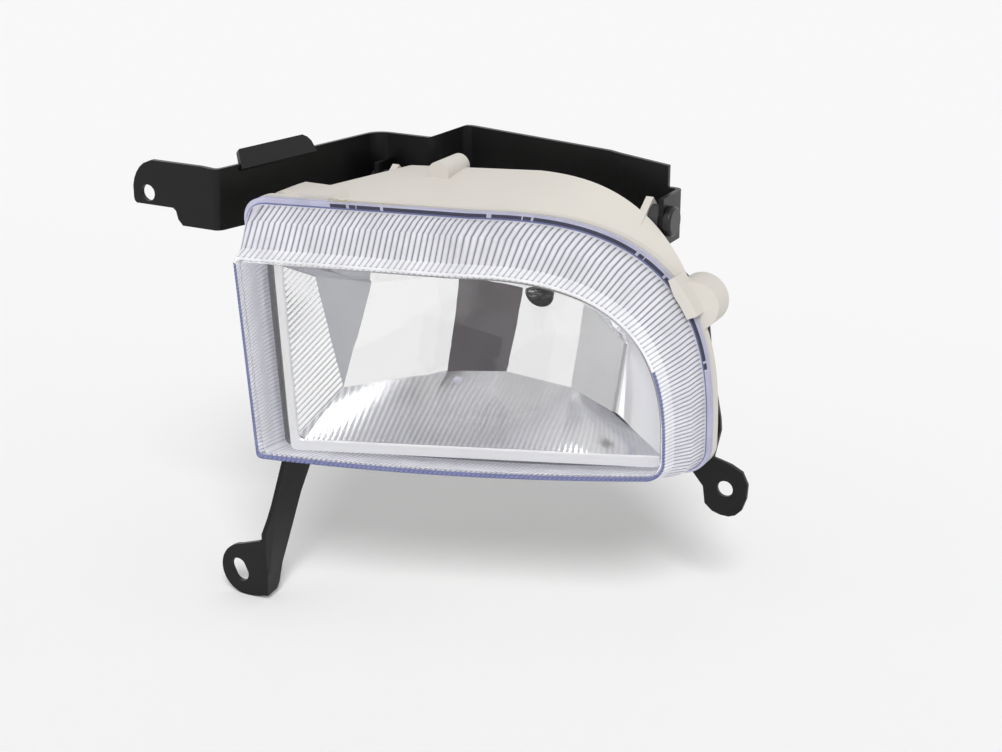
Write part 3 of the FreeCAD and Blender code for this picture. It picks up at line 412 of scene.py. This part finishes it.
# Each ring: back from the panel, growth to the left, below, right and above, inset, radius of the
# upper left corner, depth of the flutes, and which material the step behind the ring takes.
OUTER = [
    (0.0, -0.5, -1.2, 0.0, 0.0, 0.9, 1.7, 0.0, EDGE),
    (0.12, 0.0, 0.0, 0.0, 0.0, 0.45, 2.0, 0.1, EDGE),
    (0.5, 0.0, 0.0, 0.0, 0.0, 0.0, 2.0, 0.12, RIBS),
    (1.0, 0.04, 0.06, 0.25, 0.3, 0.0, 2.1, 0.3, STEP),
    (5.0, 0.2, 0.4, 1.8, 2.4, 0.0, 2.5, 0.3, RIBS),
    (5.3, 0.2, 0.42, 2.2, 3.1, 0.0, 2.6, 0.42, RIBS),
    (9.0, 0.3, 0.8, 6.7, 12.0, 0.0, 3.5, 0.45, RIBS),
    (9.6, 0.5, 0.85, 6.8, 12.3, 0.0, 3.8, 0.42, RIBS),
    (14.0, 2.6, 1.2, 7.6, 15.1, 0.0, 6.0, 0.4, RIBS),
    (17.2, 4.3, 1.5, 8.2, 16.1, 0.0, 7.0, 0.4, RIBS),
    (17.9, 4.7, 1.6, 8.5, 16.3, 0.0, 7.0, 0.0, EDGE),
    (18.05, 5.0, 1.8, 8.9, 16.9, 0.0, 7.6, 0.0, BOND),
    (18.1, 5.9, 2.3, 10.0, 18.3, 0.0, 8.2, 0.0, LIP),
    (18.2, 6.05, 2.45, 10.15, 18.6, 0.0, 8.5, 0.0, LIP),
    (18.5, 6.2, 2.6, 10.3, 18.8, 0.0, 8.5, 0.0, LIP),
    (20.6, 6.2, 2.6, 10.3, 18.8, 0.0, 8.5, 0.0, LIP),
    (21.0, 5.9, 2.3, 10.0, 18.5, 0.0, 8.5, 0.0, LIP),
]
# The inner flutes are only 0.05 mm deep: the lines on the inside wall are painted shade from the
# valley colour.
INNER = [
    # the step behind this ring takes the painted shade of the dark band
    (21.0, 0.2, 1.6, 8.4, 16.3, WALL, 6.0, 0.0, SHADE),
    (18.2, 0.2, 1.6, 8.4, 16.3, WALL, 6.0, 0.05, INSIDE),
    (14.0 + 0.5 * WALL, 0.2, 1.2, 7.6, 15.1, WALL, 5.0, 0.05, INSIDE),
    (9.0 + WALL, 0.2, 0.8, 6.7, 12.0, WALL * 0.9, 3.0, 0.05, INSIDE),
    (5.0 + WALL, 0.1, 0.4, 1.8, 2.4, WALL, 2.2, 0.05, INSIDE),
    (WALL + 0.5, 0.0, 0.0, 0.0, 0.0, WALL, 1.5, 0.05, CLEAR),
    (WALL, 0.0, 0.0, 0.0, 0.0, WALL + 0.4, 1.5, 0.0, CLEAR),
]


# The columns where the outline's outboard sweep starts and its top line ends, and how many
# columns inside those the dark sealant starts and stops and the panel's edge turns pale with a
# painted highlight
SWEEP_STARTS, TOP_ENDS = sum(FLUTES[:2]) * FLUTE, sum(FLUTES[:4]) * FLUTE
DARK_AFTER, DARK_BEFORE = 115, 70
HIGHLIGHT_AFTER = 150
PANEL_EDGE_RINGS = 3            # the first rings, which make the panel's edge


def varied(kind, ring, i):
    """The material of one column of a step. The sealant behind the flange shows as a dark, ragged
    line along the top and the outboard shoulder. The panel's edge is violet along its base, its
    inboard side and low on the outboard side, and along the top it is pale: a painted highlight."""
    if kind == BOND:
        ragged = math.sin(i * 0.7) + math.sin(i * 0.18) + 0.7 * math.sin(i * 0.045 + 1.0)
        dark = SWEEP_STARTS + DARK_AFTER < i < TOP_ENDS - DARK_BEFORE and ragged > -1.9
        return BOND if dark else LIP
    if (kind == EDGE and ring < PANEL_EDGE_RINGS
            and SWEEP_STARTS + HIGHLIGHT_AFTER < i < TOP_ENDS + 2 * FLUTE):
        return RIM
    return kind


def lofted(rings, kinds):
    """Points, faces and face materials of rings joined one to the next, with the first and last
    filled in. kinds says which material the step behind each ring takes."""
    points, faces, materials = [], [], []
    count = len(rings[0])
    for ring in rings:
        points += ring
    for k in range(len(rings) - 1):
        for i in range(count):
            j = (i + 1) % count
            faces.append((k * count + j, k * count + i, (k + 1) * count + i, (k + 1) * count + j))
            materials.append(varied(kinds[k], k, i))
    faces.append(tuple(range(count)))
    faces.append(tuple(range((len(rings) - 1) * count, len(rings) * count))[::-1])
    return points, faces, materials + [CLEAR, CLEAR]


rings, kinds, painted_valley_shade = [], [], []
for back, left, low, right, top, inset, radius, depth, kind in OUTER + INNER:
    edge = fluted(outline(left, low, right, top, inset, radius), depth)
    rings.append([on_panel(across, back, up) for across, up in edge])
    kinds.append(kind)
    # dip squared marks the flute valleys, where the lens materials paint their shade
    painted_valley_shade += [dip(i) ** 2 if depth else 0.0 for i in range(len(edge))]
points, faces, materials = lofted(rings, kinds)
lens_mesh = meshed("fluted_lens", points, faces, 26.0, materials)
lens_mesh.attributes.new("flute", "FLOAT", "POINT").data.foreach_set("value", painted_valley_shade)
piece("fluted_lens", lens_mesh, "lamp", "clear_lens", ("lens",), LENS_MATERIALS)

# Sealant squeezed out over the flange's back edge
FLASH_TONE = surface("sealant_flash", (0.42, 0.37, 0.20), 0.45, spread=0.4, grain=1200.0)
FLASH_SIDES = 6
FLASH_BACK, FLASH_SUNK = 20.9, 0.3              # back from the panel, and below the flange's edge
FLANGE = OUTER[-2][1:7]                         # the flange's growth, inset and corner radius
HALF_WAY_UP = 60.0                              # only the top of the flange is above this


def flash(name, low_x, high_x, thick, seed):
    """A ragged bead along the top of the flange between two places across the lens."""
    line = [(across, up) for across, up in outline(*FLANGE)
            if low_x < across < high_x and up > HALF_WAY_UP]
    points, faces = [], []
    for i, (across, up) in enumerate(line):
        end = math.sin(math.pi * (i + 0.5) / len(line)) ** 0.3
        ragged = 0.65 + 0.3 * math.sin(i * 0.7 + seed) + 0.2 * math.sin(i * 1.9 + seed)
        size = thick * end * ragged
        for k in range(FLASH_SIDES):
            turn = 2 * math.pi * k / FLASH_SIDES
            points.append(on_panel(across, FLASH_BACK + size * math.cos(turn),
                                   up - FLASH_SUNK + size * math.sin(turn)))
    for i in range(len(line) - 1):
        for k in range(FLASH_SIDES):
            a, b = i * FLASH_SIDES + k, i * FLASH_SIDES + (k + 1) % FLASH_SIDES
            faces.append((a, b, b + FLASH_SIDES, a + FLASH_SIDES))
    faces.append(tuple(range(FLASH_SIDES))[::-1])
    faces.append(tuple(range(len(points) - FLASH_SIDES, len(points))))
    piece(name, meshed(name, points, faces, 60.0), "lamp", "sealant", materials=(FLASH_TONE,))


flash("sealant_flash_a", 19.5, 31.0, 1.0, 0.4)
flash("sealant_flash_b", 33.0, 51.0, 0.7, 2.1)

# The moulded aiming mark: a low oval dome on the panel
MARK_ACROSS, MARK_UP = 79.3, 35.3
MARK_STEPS = ((0.8, -0.2), (1.5, -0.08), (1.9, 0.05))         # radius, back
MARK_TOP = -0.22
MARK_OVAL = 0.75                # its height as a share of its width
MARK_SIDES = 24
points, faces = [on_panel(MARK_ACROSS, MARK_TOP, MARK_UP)], []
for radius, back in MARK_STEPS:
    for k in range(MARK_SIDES):
        turn = 2 * math.pi * k / MARK_SIDES
        points.append(on_panel(MARK_ACROSS + radius * math.cos(turn), back,
                               MARK_UP + MARK_OVAL * radius * math.sin(turn)))
for k in range(MARK_SIDES):
    m = (k + 1) % MARK_SIDES
    faces.append((0, 1 + k, 1 + m))
    for ring in range(len(MARK_STEPS) - 1):
        a, b = 1 + MARK_SIDES * ring + k, 1 + MARK_SIDES * ring + m
        faces.append((a, a + MARK_SIDES, b + MARK_SIDES, b))
mark = piece("aim_mark", meshed("aim_mark", points, faces, 40.0), "lamp", "clear_lens",
             materials=(LENS_LIP,))
mark.visible_glossy = False         # else the mirror behind shows it a second time
mark.visible_transmission = False


# ---------------------------------------------------------------- the faceted reflector
def drawn(points, count):
    """count + 1 points spaced evenly along a line through points."""
    return evenly(points, count) + [tuple(points[-1])]


def patch(edge_a, edge_b, columns, rows, rib=0.0, across=None, pitch=2.0, smooth_end=0.0):
    """A sheet between two lines. With a direction across, ribs of that height and pitch stand on
    it in rows that are square to that direction, and fade out over the share smooth_end."""
    first, last = drawn(edge_a, columns), drawn(edge_b, columns)
    grid, faces = [], []
    for i in range(columns + 1):
        a, b = Vector(first[i]), Vector(last[i])
        side = Vector(first[min(i + 1, columns)]) - Vector(first[max(i - 1, 0)])
        normal = side.cross(b - a)
        normal = normal.normalized() if normal.length > 1e-9 else Vector((0, 0, 1))
        for j in range(rows + 1):
            t = j / rows
            spot = a.lerp(b, t)
            if across:
                fade = min(1.0, (1.0 - t) / smooth_end) if smooth_end else 1.0
                spot += normal * rib * fade * abs(math.sin(math.pi * spot.dot(across) / pitch))
            grid.append(spot)
    for i in range(columns):
        for j in range(rows):
            k = i * (rows + 1) + j
            faces.append((k, k + 1, k + rows + 2, k + rows + 1))
    return grid, faces


RIM_GROWTH = (-12.8, -5.8, -6.4, -4.6)          # the mirror's edge, inside the panel's outline
RIM_INSET, RIM_CORNER = -0.8, 2.0
RIM_BACK = 10.0                                 # how far behind the panel it stands


def rim_line(growth=(0.0, 0.0, 0.0, 0.0), back=0.0):
    """A closed line round the mirror's edge, grown on each side, in lamp millimetres."""
    grown = [a + b for a, b in zip(RIM_GROWTH, growth)]
    ring = outline(*grown, RIM_INSET, RIM_CORNER, level=True)
    return [ALONG * a + Vector((0.0, RIM_BACK + back, u)) for a, u in ring]


def rim_stretches():
    """The mirror's edge cut where its outline has its corners."""
    spots = rim_line()
    starts = [0]
    for count in FLUTES:
        starts.append(starts[-1] + count * FLUTE)
    return [spots[a:b + 1] if b < len(spots) else spots[a:] + spots[:1]
            for a, b in zip(starts, starts[1:])]


bottom, foot_arc, right_arc, top_line, _, left_line, _ = rim_stretches()
# Where each upright facet of the back wall meets the floor and the ceiling
FLOOR_BACK = [(22.0, 31.0, 22.8), (51.1, 59.5, 25.3), (72.5, 68.0, 25.8), (101.0, 67.0, 24.4),
              (130.9, 48.0, 25.2)]
CEIL_BACK = [(29.0, 41.5, 62.5), (55.9, 62.0, 62.1), (78.4, 70.9, 57.1), (106.0, 68.0, 58.1),
             (133.4, 50.0, 52.0)]
DARK_FACET, BULB_FACET, END_FACET = 1, 2, 3


def near(line, x):
    """The index of the point of a line nearest to x."""
    return min(range(len(line)), key=lambda i: abs(line[i].x - x))


MIRROR_MATERIALS = (FINISH["mirror_coat"], MIRROR_FLOOR_SHADED, MIRROR_RIM, MIRROR_END, MIRROR_SIDE_SHADED)
COAT, RIBBED_SHADED, FRAME, SOFT, SHADED_COAT = range(len(MIRROR_MATERIALS))
sheets = []                 # (points, faces, material)


def face(kind, *shape):
    """One more sheet of the mirror in one of its materials, shaped as patch says."""
    sheets.append(patch(*shape) + (kind,))


HOLE_MIDDLE, HOLE_HALF, HOLE_DEEP = 0.27, 0.235, 5.0    # shares along the facet's top edge, and mm
HOLE_STEPS = 12
for k in range(4):          # the upright back facets
    low_a, low_b = Vector(FLOOR_BACK[k]), Vector(FLOOR_BACK[k + 1])
    high_a, high_b = Vector(CEIL_BACK[k]), Vector(CEIL_BACK[k + 1])
    if k != BULB_FACET:
        face(SOFT if k == END_FACET else COAT, [low_a, low_b], [high_a, high_b], 6, 6)
        continue
    # The bulb's hole cuts into this one's top edge.
    rim_of_hole = []
    for step in range(HOLE_STEPS + 1):
        turn = math.pi * step / HOLE_STEPS
        spot = high_a.lerp(high_b, HOLE_MIDDLE - HOLE_HALF * math.cos(turn))
        rim_of_hole.append(spot - Vector((0.0, 0.0, HOLE_DEEP * math.sin(turn))))
    top_edge = [high_a] + rim_of_hole + [high_b]
    sheets.append((top_edge + [low_b, low_a], [tuple(range(len(top_edge) + 2))], COAT))

FLOOR_STARTS = 9.0          # the floor's edge follows the rim from this x on
floor_rim = [p for p in bottom if p.x >= FLOOR_STARTS] + foot_arc[:4]
face(RIBBED_SHADED, floor_rim, FLOOR_BACK, 62 * 6, 10, 0.13, Vector((1.0, 0.0, 0.0)), 2.0, 0.7)

# The inboard side: a ribbed leaf up to the crease, and a plain one behind it in painted shade
crease_low, crease_high = FLOOR_BACK[0], (15.0, 24.0, 68.0)
left_edge = [left_line[-1], left_line[0]]
rib_way = Vector((0.59, 0.81, 0.80)).normalized()
leaf = (Vector(crease_high) - Vector(left_edge[0])).cross(Vector(crease_low) - Vector(left_edge[0]))
rib_across = rib_way.cross(leaf.normalized()).normalized()
face(COAT, [crease_low, crease_high], left_edge, 260, 30, 0.28, rib_across, 1.9)
face(SHADED_COAT, [crease_low, CEIL_BACK[0]], [crease_low, crease_high], 4, 4)
face(RIBBED_SHADED, [crease_low, floor_rim[0]], [crease_low, left_line[-1]], 2, 2)

# The ceiling, facet by facet, and the outboard end
roof_rim = top_line[::-1] + right_arc[::-1]
marks = [0] + [near(roof_rim, x) for x in (50.0, 73.0, 99.0, 127.0)]
for k in range(4):
    face(COAT, [CEIL_BACK[k], CEIL_BACK[k + 1]], roof_rim[marks[k]:marks[k + 1] + 1], 12, 3)
# the ceiling's inboard corner is in painted shade too
face(SHADED_COAT, [crease_high, CEIL_BACK[0]], [left_line[0], roof_rim[0]], 3, 3)
end_rim = roof_rim[marks[4]:] + foot_arc[::-1]
face(SOFT, [CEIL_BACK[4], FLOOR_BACK[4]], end_rim, 60, 6)

# The bright frame round the mirror: growth to the left, below, right and above, and back
FRAME_STEPS = (
    (0.0, 0.0, 0.0, 0.0, 0.0),
    (0.5, 0.5, 0.3, 0.3, -0.5),
    (1.2, 1.2, 0.5, 0.5, -0.5),
    (1.3, 1.3, 0.6, 0.6, 0.0),
    (3.4, 4.6, 1.6, 1.3, 0.0),
    (3.6, 4.8, 1.8, 1.5, 0.4),
    (3.6, 4.8, 1.8, 1.5, 3.0),
)
frame_rings = [rim_line(growth, back) for *growth, back in FRAME_STEPS]
points, faces, materials = [], [], []
for grid, quads, kind in sheets:
    base = len(points)
    points += [at(*p) for p in grid]
    faces += [tuple(base + i for i in quad) for quad in quads]
    materials += [kind] * len(quads)
count = len(frame_rings[0])
for k in range(len(frame_rings) - 1):
    base = len(points)
    points += [at(*p) for p in frame_rings[k] + frame_rings[k + 1]]
    for i in range(count):
        j = (i + 1) % count
        faces.append((base + i, base + j, base + count + j, base + count + i))
        materials.append(FRAME)
piece("faceted_mirror", meshed("faceted_mirror", points, faces, 20.0, materials), "lamp",
      "mirror_coat", ("reflector",), MIRROR_MATERIALS)

# ---------------------------------------------------------------- the bracket and small parts
for node, name, width in (("mounting_strap", "strap_steel", 0.35),
                          ("left_leg", "left_leg_steel", 0.35),
                          ("right_leg", "right_leg_steel", 0.35),
                          ("left_pivot_tab", "left_tab_steel", 0.3),
                          ("right_pivot_screw", "right_pivot_screw_head", 0.25),
                          ("left_pivot_screw", "left_pivot_screw_head", 0.25),
                          ("housing", "housing_moulding", 0.3)):
    softened(node, name, width)

# ---------------------------------------------------------------- floor, light and camera
EYE = Vector((0.4483, -0.5499, 0.1773))         # where the camera stands
FLOOR_HALF = 8.0
CARD_AWAY = 0.2                                 # how far the card stands from the mirror
CARD_GROWTH = 1.5
AMBIENT = 0.54                                  # the white room as the surfaces feel it


def stage_sheet(name, corners, material):
    """A flat sheet of the studio, which isn't part of the lamp."""
    mesh = bpy.data.meshes.new(name)
    mesh.from_pydata([tuple(c) for c in corners], [], [(0, 1, 2, 3)])
    mesh.materials.append(material)
    made = bpy.data.objects.new(name, mesh)
    bpy.context.scene.collection.objects.link(made)
    return made


paper, tree, shader = nodes_of("white_sheet")
shader.inputs["Roughness"].default_value = 0.9
shader.inputs["Specular IOR Level"].default_value = 0.1
# Painted shade: the sheet's colour darkens towards the front, from 0.97 at the back to 0.93
place = add(tree, "ShaderNodeSeparateXYZ", {0: add(tree, "ShaderNodeTexCoord").outputs["Object"]})
fade = add(tree, "ShaderNodeMapRange", {"Value": place.outputs["Y"], "From Min": -0.25,
                                        "From Max": 0.5, "To Min": 0.93, "To Max": 0.97})
painted_falloff = add(tree, "ShaderNodeCombineXYZ", {"X": fade.outputs[0], "Y": fade.outputs[0],
                                          "Z": fade.outputs[0]})
tree.links.new(painted_falloff.outputs[0], shader.inputs["Base Color"])
stage_sheet("floor", [(x * FLOOR_HALF, y * FLOOR_HALF, cad_low.z)
                      for x, y in ((-1, -1), (1, -1), (1, 1), (-1, 1))], paper)

# A dark panel in front of the lamp, seen only in the mirror: it fills what one facet reflects.
card_paint = surface("dark_card", (0.105, 0.092, 0.100), 0.9, spread=0.6)
facet = [at(*p) for p in (FLOOR_BACK[DARK_FACET], FLOOR_BACK[DARK_FACET + 1],
                          CEIL_BACK[DARK_FACET + 1], CEIL_BACK[DARK_FACET])]
facing = (facet[1] - facet[0]).cross(facet[3] - facet[0]).normalized()
card_corners = []
for corner_spot in facet:
    sight = (corner_spot - EYE).normalized()
    bounce = sight - 2.0 * sight.dot(facing) * facing
    card_corners.append(corner_spot + bounce * CARD_AWAY)
card_middle = sum(card_corners, Vector()) / len(card_corners)
card_corners = [card_middle + (spot - card_middle) * CARD_GROWTH for spot in card_corners]
card = stage_sheet("dark_card", card_corners, card_paint)
card.visible_camera = False
card.visible_diffuse = False
card.visible_shadow = False

# A white room: the eye and the mirror see it at full strength, and surfaces are lit by less, so
# that the light below still casts a shadow
world = bpy.data.worlds.new("white_room")
bpy.context.scene.world = world
world.use_nodes = True
sky = world.node_tree.nodes["Background"]
sky.inputs["Color"].default_value = (1.0, 1.0, 1.0, 1.0)
ray = add(world.node_tree, "ShaderNodeLightPath")
level = add(world.node_tree, "ShaderNodeMapRange", {"Value": ray.outputs["Is Diffuse Ray"],
                                                    "To Min": 1.0, "To Max": AMBIENT})
world.node_tree.links.new(level.outputs[0], sky.inputs["Strength"])

# One broad light high on the viewer's side, so the shadow falls behind the lamp and below it
light = bpy.data.lights.new("soft_light", "SUN")
light.energy = 1.9
light.angle = math.radians(22.0)
light_stand = bpy.data.objects.new("soft_light", light)
bpy.context.scene.collection.objects.link(light_stand)
light_stand.rotation_euler = Vector((0.50, -0.86, 1.0)).to_track_quat("Z", "Y").to_euler()

camera = bpy.data.cameras.new("camera")
camera.lens = 65.86
camera.sensor_width = 36.0
viewer = bpy.data.objects.new("camera", camera)
bpy.context.scene.collection.objects.link(viewer)
viewer.location = EYE
viewer.rotation_euler = (math.radians(70.0), 0.0, math.radians(28.0))
bpy.context.scene.camera = viewer
bpy.context.scene.view_settings.view_transform = "Standard"
